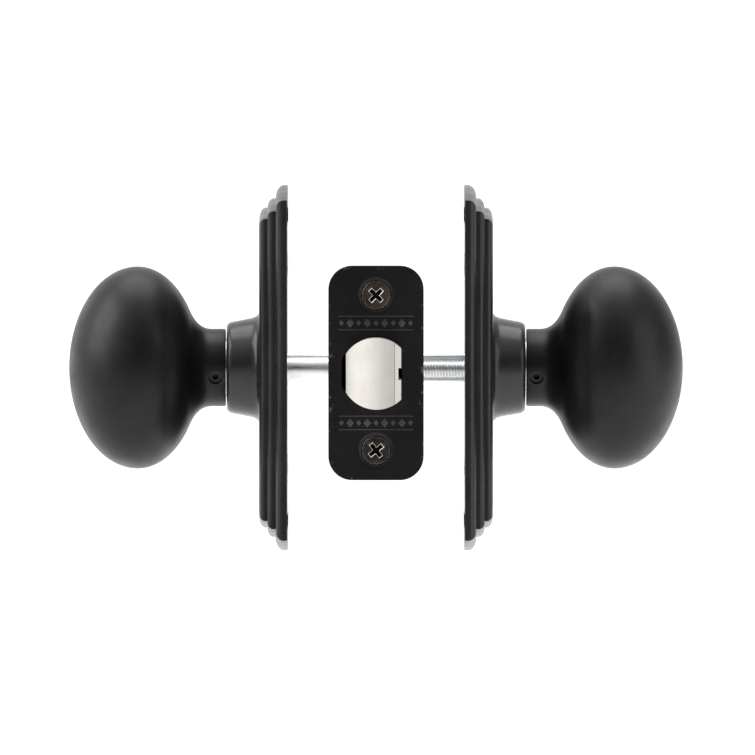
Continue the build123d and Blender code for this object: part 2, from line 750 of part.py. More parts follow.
def main():
    os.makedirs("parts", exist_ok=True)
    for side in ("outside_", "inside_"):
        make_rosette(side)
        make_collar(side)
        make_bushing(side)
        make_mounting_plate(side)
        make_cassette(side)
        make_return_spring(side)
        make_drive_cam(side)
        make_knob(side)
        make_shank(side)
        make_snap_ring(side)
        make_thrust_washer(side)
        make_set_screw(side)
    make_spindle()
    make_threaded_posts()
    make_through_bolts()
    make_faceplate()
    make_backing_plate()
    make_faceplate_screws()
    make_latch_barrel()
    make_case_half("latch_case_left")
    make_case_half("latch_case_right")
    make_spring_stop()
    make_bolt_spring()
    make_latch_bolt()
    make_bolt_tail()
    make_latch_hub()


main()
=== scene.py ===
import logging
import math
from dataclasses import dataclass, field
from enum import Enum

import bmesh
import bpy
from mathutils import Matrix, Vector


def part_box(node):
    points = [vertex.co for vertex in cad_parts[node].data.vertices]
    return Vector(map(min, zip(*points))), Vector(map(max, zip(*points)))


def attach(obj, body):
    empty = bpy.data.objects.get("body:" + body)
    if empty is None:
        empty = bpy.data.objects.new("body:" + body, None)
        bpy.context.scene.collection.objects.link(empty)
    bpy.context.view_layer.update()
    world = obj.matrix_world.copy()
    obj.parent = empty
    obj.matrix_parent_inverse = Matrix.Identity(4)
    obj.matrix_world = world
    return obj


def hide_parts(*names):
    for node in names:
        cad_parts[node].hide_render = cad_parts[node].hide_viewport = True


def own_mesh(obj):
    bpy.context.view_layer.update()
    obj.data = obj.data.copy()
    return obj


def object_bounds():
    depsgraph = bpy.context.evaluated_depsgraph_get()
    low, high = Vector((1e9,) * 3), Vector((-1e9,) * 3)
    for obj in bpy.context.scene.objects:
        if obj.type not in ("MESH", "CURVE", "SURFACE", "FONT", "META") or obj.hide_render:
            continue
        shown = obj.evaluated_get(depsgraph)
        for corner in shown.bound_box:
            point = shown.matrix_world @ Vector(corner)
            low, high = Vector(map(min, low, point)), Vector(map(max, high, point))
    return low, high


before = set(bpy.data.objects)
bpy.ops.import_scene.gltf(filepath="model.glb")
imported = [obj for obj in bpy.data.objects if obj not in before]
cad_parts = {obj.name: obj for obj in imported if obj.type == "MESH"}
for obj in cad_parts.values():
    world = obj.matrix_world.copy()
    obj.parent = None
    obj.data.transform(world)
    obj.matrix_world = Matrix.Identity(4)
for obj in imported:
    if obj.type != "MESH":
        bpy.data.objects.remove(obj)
cad_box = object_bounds()

MM = 0.001
PAST = 2.0  # how far a cutter stands past the surface that it cuts
NEAR = 0.1  # how far the middle of a face may be from the surface that it lies on
FLUSH = 0.01  # a face this little below another counts as level with it
WELD = 1e-4  # points closer than this become one
LOG = logging.getLogger("knob_set")

Pair = tuple[float, float]
Triple = tuple[float, float, float]
Socket = bpy.types.NodeSocket
Mesh = bmesh.types.BMesh

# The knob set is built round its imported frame: +X along the spindle to the inside knob, -Y out
# of the door's edge, +Z up. Sizes in the classes are in millimetres.


class Side(Enum):
    """The two faces of the door, by the direction of the spindle that each looks along."""

    OUTSIDE = -1
    INSIDE = 1

    @property
    def prefix(self) -> str:
        """Start of the names of the CAD nodes on this side."""
        return self.name.lower() + "_"


class Grain(Enum):
    """How a finish's fine marks run."""

    CLOUDY = (1.0, 1.0, 1.0)
    ALONG_X = (0.04, 1.0, 1.0)
    ALONG_Y = (1.0, 0.04, 1.0)
    ALONG_Z = (1.0, 1.0, 0.04)


# ---------------------------------------------------------------------------
# Finishes
# ---------------------------------------------------------------------------


class NodeBoard:
    """A node tree with short calls for the nodes that the finishes and the studio use."""

    def __init__(self, owner: bpy.types.Material | bpy.types.World, place: str = "Object") -> None:
        """Start on a new material's or world's tree.

        Args:
            owner: the material or the world.
            place: the texture coordinate that patterns lie on.
        """
        owner.use_nodes = True
        self.owner = owner
        self.tree = owner.node_tree
        self.shader = self.tree.nodes.get("Principled BSDF") or self.tree.nodes["Background"]
        self.place = self.tree.nodes.new("ShaderNodeTexCoord").outputs[place]

    @classmethod
    def of_material(cls, name: str) -> "NodeBoard":
        """A board on a new material with this name."""
        return cls(bpy.data.materials.new(name))

    def fill(self, node: bpy.types.Node, inputs: dict) -> None:
        """Gives some of a node's inputs their values.

        Args:
            node: the node.
            inputs: a socket or a plain value for each input, by its name or number.
        """
        for key, value in inputs.items():
            if isinstance(value, Socket):
                self.tree.links.new(value, node.inputs[key])
            else:
                node.inputs[key].default_value = value

    def add(self, kind: str, inputs: dict) -> bpy.types.Node:
        """Adds a node.

        Args:
            kind: its type, without the word ShaderNode in front.
            inputs: a socket or a plain value for each input, by its name or number.

        Returns:
            The node.
        """
        node = self.tree.nodes.new("ShaderNode" + kind)
        self.fill(node, inputs)
        return node

    def noise(self, scale: float, detail: float = 3.0, grain: Grain = Grain.CLOUDY) -> Socket:
        """Fractal noise.

        Args:
            scale: cells per metre.
            detail: how many octaves.
            grain: the direction that the noise is drawn out along.

        Returns:
            The noise, from 0 to 1.
        """
        place = self.add("Mapping", {"Vector": self.place, "Scale": grain.value})
        inputs = {"Vector": place.outputs["Vector"], "Scale": scale, "Detail": detail}
        return self.add("TexNoise", inputs).outputs["Fac"]

    def ramp(
        self, value: Socket, low: float, high: float, start: float = 0.0, end: float = 1.0,
        shape: str = "LINEAR",
    ) -> Socket:
        """Change from one number to another, flat outside.

        Args:
            value: the socket that drives it.
            low: where the change starts.
            high: where it ends.
            start: the result up to low.
            end: the result from high.
            shape: the Map Range node's interpolation.

        Returns:
            The result.
        """
        node = self.add("MapRange", {
            "Value": value, "From Min": low, "From Max": high, "To Min": start, "To Max": end,
        })
        node.interpolation_type = shape
        return node.outputs["Result"]

    def sum(self, kind: str, first: Socket, second: Socket | float = 0.0) -> Socket:
        """One step of arithmetic.

        Args:
            kind: the Math node's operation.
            first: a socket.
            second: a socket or a number, where the operation needs one.

        Returns:
            The result.
        """
        node = self.add("Math", {0: first, 1: second})
        node.operation = kind
        return node.outputs["Value"]

    def parts_of_place(self) -> tuple[Socket, ...]:
        """The three coordinates, one socket each."""
        return tuple(self.add("SeparateXYZ", {"Vector": self.place}).outputs)

    def blend(self, amount: Socket, low: Socket | Triple, high: Triple) -> Socket:
        """Mix of two colours.

        Args:
            amount: 0 for the first colour, 1 for the second.
            low: the first colour, red, green and blue, or a socket with it.
            high: the second colour.

        Returns:
            The mixed colour.
        """
        node = self.add("Mix", {})
        node.data_type = "RGBA"
        first = low if isinstance(low, Socket) else (*low, 1.0)
        self.fill(node, {"Factor": amount, 6: first, 7: (*high, 1.0)})
        return node.outputs[2]

    def coat(self, amount: Socket, colour: Triple) -> None:
        """Lays a colour over the shader's own.

        Args:
            amount: how much of it shows, from 0 to 1.
            colour: red, green and blue.
        """
        below = self.shader.inputs["Base Color"].links[0].from_socket
        self.fill(self.shader, {"Base Color": self.blend(amount, below, colour)})

    def bump(
        self, height: Socket, strength: float, depth: float, after: Socket | None = None
    ) -> Socket:
        """Surface relief.

        Args:
            height: the relief, from 0 to 1.
            strength: how much of it shows.
            depth: its depth in millimetres.
            after: relief that this one lies on.

        Returns:
            The bent normal.
        """
        inputs = {"Height": height, "Strength": strength, "Distance": depth * MM}
        if after is not None:
            inputs["Normal"] = after
        return self.add("Bump", inputs).outputs["Normal"]


@dataclass(frozen=True)
class Finish:
    """What every finish has: the two tones that it lies between and a range of roughness."""

    name: str
    dark: Triple
    light: Triple
    gloss: Pair

    def board(self) -> NodeBoard:
        """Node tree with this finish's colour, gloss and relief."""
        raise NotImplementedError

    def material(self) -> bpy.types.Material:
        """The finished material."""
        return self.board().owner


@dataclass(frozen=True)
class Enamel(Finish):
    """Sprayed and baked paint on cast metal: deep, satin, with a fine orange-peel skin."""

    metallic: float = 0.0
    specular: float = 0.5
    peel: float = 0.12
    cloud_scale: float = 90.0
    cloud_span: Pair = (0.35, 0.7)
    haze_scale: float = 210.0
    haze_span: Pair = (0.3, 0.72)
    skin_scale: float = 900.0
    skin_depth: float = 0.06
    speck_scale: float = 2600.0
    speck_depth: float = 0.02
    fleck_span: Pair = (0.66, 0.74)
    fleck_share: float = 0.35

    def board(self) -> NodeBoard:
        """Node tree with this paint's colour, gloss and relief."""
        board = NodeBoard.of_material(self.name)
        cloud = board.ramp(board.noise(self.cloud_scale, 4.0), *self.cloud_span)
        speck = board.noise(self.speck_scale, 2.0)
        haze = board.noise(self.haze_scale, 5.0)
        skin = board.bump(board.noise(self.skin_scale, 2.0), self.peel, self.skin_depth)
        board.fill(board.shader, {
            "Base Color": board.blend(cloud, self.dark, self.light),
            "Roughness": board.ramp(haze, *self.haze_span, *self.gloss),
            "Metallic": self.metallic,
            "Specular IOR Level": self.specular,
            "Normal": board.bump(speck, self.peel, self.speck_depth, skin),
        })
        lifted = tuple(2.2 * channel + 0.01 for channel in self.light)
        board.coat(board.ramp(speck, *self.fleck_span, 0.0, self.fleck_share), lifted)
        return board


@dataclass(frozen=True)
class Metal(Finish):
    """Bare or plated metal with brushed or drawn marks."""

    grain: Grain = Grain.CLOUDY
    marks: float = 4200.0
    relief: float = 0.15
    bare: float = 1.0
    mark_depth: float = 0.03
    cloud_scale: float = 160.0
    tone_span: Pair = (0.36, 0.64)
    gloss_span: Pair = (0.3, 0.7)

    def board(self) -> NodeBoard:
        """Node tree with this metal's colour, gloss and marks."""
        board = NodeBoard.of_material(self.name)
        cloud = board.noise(self.cloud_scale, 4.0)
        marks = board.noise(self.marks, 4.0, self.grain)
        mixed = board.sum("MULTIPLY", board.sum("ADD", cloud, marks), 0.5)
        tone = board.ramp(mixed, *self.tone_span)
        board.fill(board.shader, {
            "Base Color": board.blend(tone, self.dark, self.light),
            "Roughness": board.ramp(marks, *self.gloss_span, *self.gloss),
            "Metallic": self.bare,
            "Normal": board.bump(marks, self.relief, self.mark_depth),
        })
        return board


@dataclass(frozen=True)
class WallShadeMetal(Metal):
    """Drawn metal with a dark disc of painted shade on the wall behind the latch barrel, where
    shade falls down the bore.
    """

    wall: float = -29.5
    reach: float = 10.6
    fade: float = 0.3
    painted_shade: Triple = (0.01, 0.008, 0.006)

    def board(self) -> NodeBoard:
        """Node tree with the painted shade laid over the metal."""
        board = super().board()
        across, along, up = board.parts_of_place()
        squares = [board.sum("MULTIPLY", way, way) for way in (across, up)]
        radius = board.sum("SQRT", board.sum("ADD", *squares))
        inner, ahead = (
            board.ramp(way, edge * MM, (edge + self.fade) * MM, 1.0, 0.0)
            for way, edge in ((radius, self.reach), (along, self.wall))
        )
        # Dark disc of painted shade on the case wall, round the barrel's axis.
        board.coat(board.sum("MULTIPLY", inner, ahead), self.painted_shade)
        return board


@dataclass(frozen=True)
class Moulding(Finish):
    """Moulded plastic with a faint mottle and a matt skin."""

    mottle_scale: float = 350.0
    mottle_span: Pair = (0.3, 0.7)
    skin_scale: float = 3000.0
    skin_depth: float = 0.02
    relief: float = 0.1

    def board(self) -> NodeBoard:
        """Node tree with this plastic's colour, gloss and relief."""
        board = NodeBoard.of_material(self.name)
        mottle = board.noise(self.mottle_scale)
        tone = board.ramp(mottle, *self.mottle_span)
        board.fill(board.shader, {
            "Base Color": board.blend(tone, self.dark, self.light),
            "Roughness": board.ramp(mottle, *self.mottle_span, *self.gloss),
            "Normal": board.bump(board.noise(self.skin_scale), self.relief, self.skin_depth),
        })
        return board


@dataclass(frozen=True)
class ScuffedEnamel(Enamel):
    """Faceplate paint, scuffed through near the edges of the plate."""

    half_width: float = 12.7
    half_height: float = 28.6
    side_rim: float = 1.5
    end_rim: float = 1.2
    chip_scale: float = 640.0
    chip_span: Pair = (0.6, 0.7)
    chip_share: float = 0.9
    hair_scale: float = 1500.0
    hair_span: Pair = (0.72, 0.78)
    hair_share: float = 0.12
    scuff: Triple = (0.16, 0.145, 0.135)

    def board(self) -> NodeBoard:
        """Node tree with the scuffs laid over the paint."""
        board = super().board()
        across, _, up = board.parts_of_place()
        rims = [
            board.ramp(board.sum("ABSOLUTE", way), (edge - rim) * MM, edge * MM)
            for way, edge, rim in (
                (across, self.half_width, self.side_rim), (up, self.half_height, self.end_rim)
            )
        ]
        chips = board.noise(self.chip_scale, 6.0)
        chips = board.ramp(chips, *self.chip_span, 0.0, self.chip_share)
        hairs = board.noise(self.hair_scale, 3.0, Grain.ALONG_X)
        hairs = board.ramp(hairs, *self.hair_span, 0.0, self.hair_share)
        chipped = board.sum("MULTIPLY", board.sum("MAXIMUM", *rims), chips)
        board.coat(board.sum("MAXIMUM", chipped, hairs), self.scuff)
        return board


SATIN_BLACK = Enamel(
    "satin_black", (0.0075, 0.0067, 0.0067), (0.0115, 0.0102, 0.010), (0.33, 0.44), 0.3, 0.37
)
# PLATE_BLACK and COLLAR_BLACK are lighter copies of the knob's black paint: painted light for how
# the rosettes and collars are lit.
PLATE_BLACK = Enamel(
    "plate_black", (0.0118, 0.0109, 0.0109), (0.0185, 0.0168, 0.0165), (0.24, 0.36), 0.3, 0.44
)
COLLAR_BLACK = Enamel(
    "collar_black", (0.017, 0.0156, 0.0156), (0.026, 0.0238, 0.0232), (0.2, 0.3), 0.3, 0.62
)
FACEPLATE_BLACK = ScuffedEnamel(
    "faceplate_black", (0.005, 0.0043, 0.0045), (0.0085, 0.0072, 0.0072), (0.24, 0.34), 0.1, 0.26
)
# The bolt's nickel is one plating in two copies: the slope's is darker, painted shade, and the nose
# flat's lighter, painted light.
SATIN_NICKEL = Metal(
    "satin_nickel", (0.6, 0.573, 0.532), (0.675, 0.655, 0.615), (0.36, 0.5), Grain.ALONG_Z, bare=0.5
)
LIT_NOSE_NICKEL = Metal(
    "nose_nickel_painted_light", (0.86, 0.84, 0.8), (0.93, 0.91, 0.875), (0.34, 0.46), Grain.ALONG_Z, bare=0.5
)
SCREW_BRONZE = Metal(
    "screw_bronze", (0.03, 0.024, 0.02), (0.09, 0.075, 0.063), (0.3, 0.5), Grain.CLOUDY, 1800.0
)
# Bright steel for the screws' rims and recess lips: wear, and painted highlight on them.
WORN_AND_HIGHLIGHT_STEEL = Metal("worn_and_highlight_steel", (0.44, 0.41, 0.37), (0.7, 0.66, 0.61), (0.24, 0.36))
WORN_PAINT = Enamel("worn_paint", (0.045, 0.042, 0.041), (0.08, 0.076, 0.073), (0.3, 0.42), 0.4)
# Near-black painted shade for the screws' cross recesses and the latch barrel's bore.
PAINTED_SHADE_BLACK = Metal("painted_shade_black", (0.006, 0.005, 0.0045), (0.02, 0.016, 0.014), (0.5, 0.7))
ZINC = Metal(
    "zinc_plate", (0.58, 0.59, 0.60), (0.74, 0.75, 0.76), (0.26, 0.42), Grain.CLOUDY, 900.0
)
ZINC_DRAWN = Metal(
    "zinc_drawn", (0.50, 0.51, 0.52), (0.68, 0.69, 0.70), (0.26, 0.42), Grain.ALONG_Y
)
# The latch case's zinc carries a disc of painted shade behind the barrel.
ZINC_CASE = WallShadeMetal(
    "zinc_case", (0.50, 0.51, 0.52), (0.68, 0.69, 0.70), (0.28, 0.44), Grain.ALONG_Y
)
ZINC_BAR = Metal(
    "zinc_bar", (0.66, 0.67, 0.68), (0.8, 0.81, 0.815), (0.22, 0.36), Grain.ALONG_X
)
SPRING_WIRE = Metal("spring_wire", (0.34, 0.34, 0.35), (0.5, 0.5, 0.51), (0.24, 0.36))
BLACK_OXIDE = Metal("black_oxide", (0.02, 0.02, 0.021), (0.04, 0.04, 0.042), (0.34, 0.46))
NYLON = Moulding("nylon", (0.70, 0.68, 0.62), (0.80, 0.78, 0.73), (0.5, 0.62))


class FinishShelf:
    """Keeps one material for each finish, made when it is first asked for."""

    def __init__(self) -> None:
        """Start with nothing made."""
        self.made: dict[str, bpy.types.Material] = {}

    def get(self, finish: Finish) -> bpy.types.Material:
        """The material of a finish.

        Args:
            finish: the finish wanted.

        Returns:
            Its material.
        """
        if finish.name not in self.made:
            self.made[finish.name] = finish.material()
        return self.made[finish.name]


SHELF = FinishShelf()


# ---------------------------------------------------------------------------
# Mesh helpers
# ---------------------------------------------------------------------------


def box_mm(node: str) -> tuple[Vector, Vector]:
    """A CAD node's lowest and highest corners in millimetres.

    Args:
        node: the node's name.

    Returns:
        The two corners.
    """
    low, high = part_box(node)
    return low / MM, high / MM


def edge_of_door(side: Side) -> Matrix:
    """Turns a shape that stands on the floor into one that stands on the door.

    Args:
        side: the face of the door.

    Returns:
        The matrix that takes local +Z to the way out of the door, +Y to up, in millimetres.
    """
    low, high = box_mm(side.prefix + "rosette")
    wall = low.x if side is Side.INSIDE else high.x
    out = side.value
    turn = Matrix(((0, 0, out), (out, 0, 0), (0, 1, 0))).to_4x4()
    return Matrix.Translation((wall, 0, 0)) @ turn


def turned(degrees: float, axis: str) -> Matrix:
    """A turn about an axis through the origin."""
    return Matrix.Rotation(math.radians(degrees), 4, axis)


def along_latch(y: float) -> Matrix:
    """Turns a shape that stands on the floor into one that points out of the door's edge.

    Args:
        y: where its foot is along the latch, in millimetres.

    Returns:
        The matrix that takes local +Z to -Y and local +Y to +Z.
    """
    return Matrix.Translation((0, y, 0)) @ turned(90, "X")


def arc(centre: Pair, radii: Pair, start: float, end: float, steps: int) -> list[Pair]:
    """Points along an elliptical arc.

    Args:
        centre: its centre.
        radii: its two half axes.
        start: first angle in degrees.
        end: last angle in degrees.
        steps: how many chords.

    Returns:
        steps + 1 points.
    """
    turns = (math.radians(start + (end - start) * i / steps) for i in range(steps + 1))
    return [(centre[0] + radii[0] * math.cos(t), centre[1] + radii[1] * math.sin(t)) for t in turns]


def bezier(start: Pair, pull: Pair, end: Pair, steps: int) -> list[Pair]:
    """Points along a curve that leaves start and reaches end heading for pull.

    Args:
        start: first point.
        pull: where the two end tangents meet.
        end: last point.
        steps: how many chords.

    Returns:
        steps + 1 points.
    """
    points = []
    for i in range(steps + 1):
        t = i / steps
        weights = ((1 - t) ** 2, 2 * t * (1 - t), t * t)
        points.append(tuple(
            weights[0] * start[k] + weights[1] * pull[k] + weights[2] * end[k] for k in (0, 1)
        ))
    return points


def spun(profile: list[Pair], segments: int = 96) -> Mesh:
    """Turns a profile about local Z.

    Args:
        profile: (radius, height) points; a closed ring repeats its first point at its end.
        segments: how many steps round.

    Returns:
        The turned mesh.
    """
    bm = bmesh.new()
    verts = [bm.verts.new((radius, 0, height)) for radius, height in profile]
    edges = [bm.edges.new(pair) for pair in zip(verts, verts[1:])]
    bmesh.ops.spin(
        bm, geom=verts + edges, axis=(0, 0, 1), cent=(0, 0, 0), angle=2 * math.pi,
        steps=segments, use_merge=True,
    )
    bmesh.ops.remove_doubles(bm, verts=bm.verts, dist=WELD)
    bmesh.ops.recalc_face_normals(bm, faces=bm.faces)
    return bm


def loop_of(bm: Mesh, points: list[Pair], height: float) -> list:
    """Adds a closed loop of edges at one height.

    Args:
        bm: the mesh to add to.
        points: the loop's corners in X and Y.
        height: its height.

    Returns:
        The new edges.
    """
    verts = [bm.verts.new((x, y, height)) for x, y in points]
    return [bm.edges.new((verts[i - 1], verts[i])) for i in range(len(verts))]


def filled(bm: Mesh, edges: list) -> list:
    """Fills the flat area between closed loops of edges.

    Args:
        bm: the mesh that has the loops.
        edges: the edges of all of them.

    Returns:
        The new faces.
    """
    made = bmesh.ops.triangle_fill(bm, use_beauty=True, use_dissolve=False, edges=edges)
    return [item for item in made["geom"] if isinstance(item, bmesh.types.BMFace)]


def rounded_box(width: float, height: float, radius: float, steps: int) -> list[tuple]:
    """Outline of a rectangle with round corners, centred on the origin.

    Args:
        width: its size in X.
        height: its size in Y.
        radius: its corner radius.
        steps: chords in each corner.

    Returns:
        The outline's points, anticlockwise.
    """
    x, y = width / 2 - radius, height / 2 - radius
    points = []
    for start, cx, cy in ((0, x, y), (90, -x, y), (180, -x, -y), (270, x, -y)):
        points += arc((cx, cy), (radius, radius), start, start + 90, steps)
    return points


def off_axis(place: Vector) -> float:
    """How far a place is from local Z."""
    return math.hypot(place.x, place.y)


def mark_creases(bm: Mesh, angle: float) -> None:
    """Shades the mesh smooth except across its creases.

    Args:
        bm: the mesh.
        angle: the least turn, in degrees, that counts as a crease.
    """
    for face in bm.faces:
        face.smooth = True
    for edge in bm.edges:
        if len(edge.link_faces) == 2:
            edge.smooth = edge.calc_face_angle() < math.radians(angle)


def wrapped(bm: Mesh, name: str) -> bpy.types.Object:
    """Wraps a mesh in a new object of the scene.

    Args:
        bm: the mesh; it is freed.
        name: the object's name.

    Returns:
        The object.
    """
    mesh = bpy.data.meshes.new(name)
    bm.to_mesh(mesh)
    bm.free()
    made = bpy.data.objects.new(name, mesh)
    bpy.context.scene.collection.objects.link(made)
    return made


@dataclass
class Piece:
    """What a finished mesh needs to become a piece of the object."""

    name: str
    body: str
    slot: str
    finishes: tuple
    stands_for: tuple[str, ...]
    crease: float = 30.0
    edge: float = 0.0

    def place(self, bm: Mesh, matrix: Matrix) -> bpy.types.Object:
        """Puts the mesh where it belongs and hands it to its body.

        Args:
            bm: the mesh, in millimetres; it is freed.
            matrix: takes it to its place in the frame, in millimetres.

        Returns:
            The new object.
        """
        bmesh.ops.transform(bm, matrix=Matrix.Scale(MM, 4) @ matrix, verts=bm.verts)
        if matrix.determinant() < 0:
            bmesh.ops.reverse_faces(bm, faces=bm.faces)
        mark_creases(bm, self.crease)
        made = wrapped(bm, self.name)
        for finish in self.finishes:
            made.data.materials.append(SHELF.get(finish))
        if self.edge:
            bevel = made.modifiers.new("edges", "BEVEL")
            bevel.width = self.edge * MM
            bevel.segments = 2
            bevel.limit_method = "ANGLE"
            bevel.angle_limit = math.radians(self.crease)
            bevel.harden_normals = True
        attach(made, self.body)
        if self.stands_for:
            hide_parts(*self.stands_for)
        LOG.info("%s: %d faces", self.name, len(made.data.polygons))
        return made


def carved(bm: Mesh, cutters: list[Mesh]) -> Mesh:
    """Cuts solids out of a mesh.

    Args:
        bm: the mesh to cut; it is freed.
        cutters: closed meshes to take away; they are freed.

    Returns:
        The cut mesh.
    """
    target = wrapped(bm, "carved")
    tools = [wrapped(cutter, "cutter") for cutter in cutters]
    for tool in tools:
        cut = target.modifiers.new("cut", "BOOLEAN")
        cut.operation = "DIFFERENCE"
        cut.solver = "EXACT"
        cut.object = tool
    shape = target.evaluated_get(bpy.context.evaluated_depsgraph_get())
    result = bmesh.new()
    result.from_mesh(shape.to_mesh())
    shape.to_mesh_clear()
    for item in (target, *tools):
        mesh = item.data
        bpy.data.objects.remove(item)
        bpy.data.meshes.remove(mesh)
    bmesh.ops.remove_doubles(result, verts=result.verts, dist=WELD)
    return result


def block(low: Triple, high: Triple) -> Mesh:
    """A plain block between two corners.

    Args:
        low: its lowest corner.
        high: its highest corner.

    Returns:
        The block.
    """
    bm = bmesh.new()
    low_corner, high_corner = Vector(low), Vector(high)
    size = high_corner - low_corner
    middle = (low_corner + high_corner) / 2
    matrix = Matrix.Translation(middle) @ Matrix.Diagonal((*size, 1))
    bmesh.ops.create_cube(bm, size=1, matrix=matrix)
    return bm


def rod(radius: float, low: float, high: float, segments: int = 48) -> Mesh:
    """A plain round bar along local Z.

    Args:
        radius: its radius.
        low: where it starts.
        high: where it ends.
        segments: steps round.

    Returns:
        The bar.
    """
    bm = bmesh.new()
    bmesh.ops.create_cone(
        bm, cap_ends=True, segments=segments, radius1=radius, radius2=radius,
        depth=high - low, matrix=Matrix.Translation((0, 0, (low + high) / 2)),
    )
    return bm


def sweep(bm: Mesh, face: bmesh.types.BMFace, turns: int, steps: int, rise: float) -> None:
    """Sweeps a section up a helix round local Z.

    Args:
        bm: the mesh that has the section.
        face: the section.
        turns: how many turns.
        steps: steps in one turn.
        rise: rise of one turn.
    """
    bmesh.ops.spin(
        bm, geom=[face], axis=(0, 0, 1), cent=(0, 0, 0), dvec=(0, 0, rise / steps),
        angle=2 * math.pi * turns, steps=steps * turns,
    )
    bmesh.ops.recalc_face_normals(bm, faces=bm.faces)


def add_thread(bm: Mesh, root: float, crest: float, pitch: float, low: float, high: float) -> None:
    """Adds a screw thread to a mesh, round local Z.

    Args:
        bm: the mesh to add it to.
        root: radius inside the core, where the ridge stands.
        crest: radius of the ridge's top.
        pitch: rise of one turn.
        low: where the thread starts.
        high: where it ends.
    """
    flank, flat = 0.42 * pitch, 0.08 * pitch
    corners = ((root, -flank), (crest, -flat), (crest, flat), (root, flank))
    face = bm.faces.new([bm.verts.new((radius, 0, low + rise)) for radius, rise in corners])
    sweep(bm, face, int((high - low) / pitch), 20, pitch)


# ---------------------------------------------------------------------------
# Knobs and rosettes
# ---------------------------------------------------------------------------


@dataclass
class KnobCasting:
    """Egg-shaped knob on a round neck, with a set-screw hole in the neck."""

    side: Side
    neck_radius: float = 10.45
    shank_radius: float = 8.0
    shank_front: float = 30.0
    middle: float = 40.4
    rear: float = 17.0
    neck_end: float = 20.5
    blend_depth: float = 14.0
    lip: float = 0.35
    lip_round: float = 0.3
    screw_place: float = 19.4
    screw_tilt: float = 14.0
    screw_radius: float = 1.85
    round_until: float = 23.0
    oval_from: float = 33.0

    def profile(self, tip: float, half_height: float, back: float) -> list[Pair]:
        """Outline from the bottom of the shank's bore round to the tip.

        Args:
            tip: how far the knob reaches from the door.
            half_height: half of the knob's height.
            back: where its neck starts.

        Returns:
            (radius, reach) points.
        """
        share = math.sqrt(1 - (self.blend_depth / self.rear) ** 2)
        join = (half_height * share, self.middle - self.blend_depth)
        steepness = half_height * self.blend_depth / (self.rear**2 * share)
        pull = (self.neck_radius, join[1] - (join[0] - self.neck_radius) / steepness)
        start = math.degrees(math.acos(self.blend_depth / self.rear))
        bore = [(0, self.shank_front), (self.shank_radius, self.shank_front)]
        neck = [
            (self.shank_radius, back),
            (self.neck_radius - self.lip, back),
            (self.neck_radius - self.lip_round * self.lip, back + self.lip_round * self.lip),
            (self.neck_radius, back + self.lip),
        ]
        root = bezier((self.neck_radius, self.neck_end), pull, join, 14)
        rear = arc((0, self.middle), (half_height, self.rear), start - 90, 0, 30)
        front = arc((0, self.middle), (half_height, tip - self.middle), 0, 90, 42)
        front[-1] = (0, tip)
        return bore + neck + root + rear[1:] + front[1:]

    def build(self) -> bpy.types.Object:
        """Builds the knob.

        Returns:
            The knob's piece.
        """
        node = self.side.prefix + "knob"
        low, high = box_mm(node)
        out = edge_of_door(self.side)
        wall = abs(out.translation.x)
        tip = max(abs(low.x), abs(high.x)) - wall
        back = min(abs(low.x), abs(high.x)) - wall
        bm = spun(self.profile(tip, high.z, back), 128)
        oval = high.y / high.z
        for vert in bm.verts:
            t = (vert.co.z - self.round_until) / (self.oval_from - self.round_until)
            t = min(max(t, 0.0), 1.0)
            squeeze = 1 + (oval - 1) * t * t * (3 - 2 * t)
            vert.co.x *= squeeze
        drill = rod(self.screw_radius, 0, self.neck_radius + PAST, 40)
        aim = turned(90 + self.screw_tilt, "X")
        across = Matrix.Translation((self.side.value * (wall + self.screw_place), 0, 0))
        bmesh.ops.transform(drill, matrix=out.inverted() @ across @ aim, verts=drill.verts)
        bm = carved(bm, [drill])
        piece = Piece(node + "_casting", "knob_set", "satin_black", (SATIN_BLACK,), (node,), 40)
        return piece.place(bm, out)


@dataclass
class Collar:
    """Flared collar that the knob's neck turns in."""

    side: Side
    bore: float = 9.4
    spigot: float = 10.95
    spigot_back: float = 5.4
    flare_foot: Pair = (14.8, 7.62)
    flare_pull: Pair = (13.7, 8.2)
    flare_top: Pair = (13.3, 9.9)
    rim_foot: Pair = (12.35, 14.9)
    rim_pull: Pair = (12.0, 16.35)
    rim_top: Pair = (11.0, 16.4)
    lip: float = 0.2

    def build(self) -> bpy.types.Object:
        """Builds the collar.

        Returns:
            The collar's piece.
        """
        flare = bezier(self.flare_foot, self.flare_pull, self.flare_top, 10)
        rim = bezier(self.rim_foot, self.rim_pull, self.rim_top, 10)
        profile = [(self.bore, self.spigot_back), (self.spigot, self.spigot_back)]
        profile += [(self.spigot, self.flare_foot[1])] + flare + rim
        front = self.rim_top[1]
        profile += [(self.bore + self.lip, front), (self.bore, front - self.lip), profile[0]]
        node = self.side.prefix + "collar"
        piece = Piece(node + "_turned", "root", "satin_black", (COLLAR_BLACK,), (node,), 35)
        return piece.place(spun(profile, 128), edge_of_door(self.side))


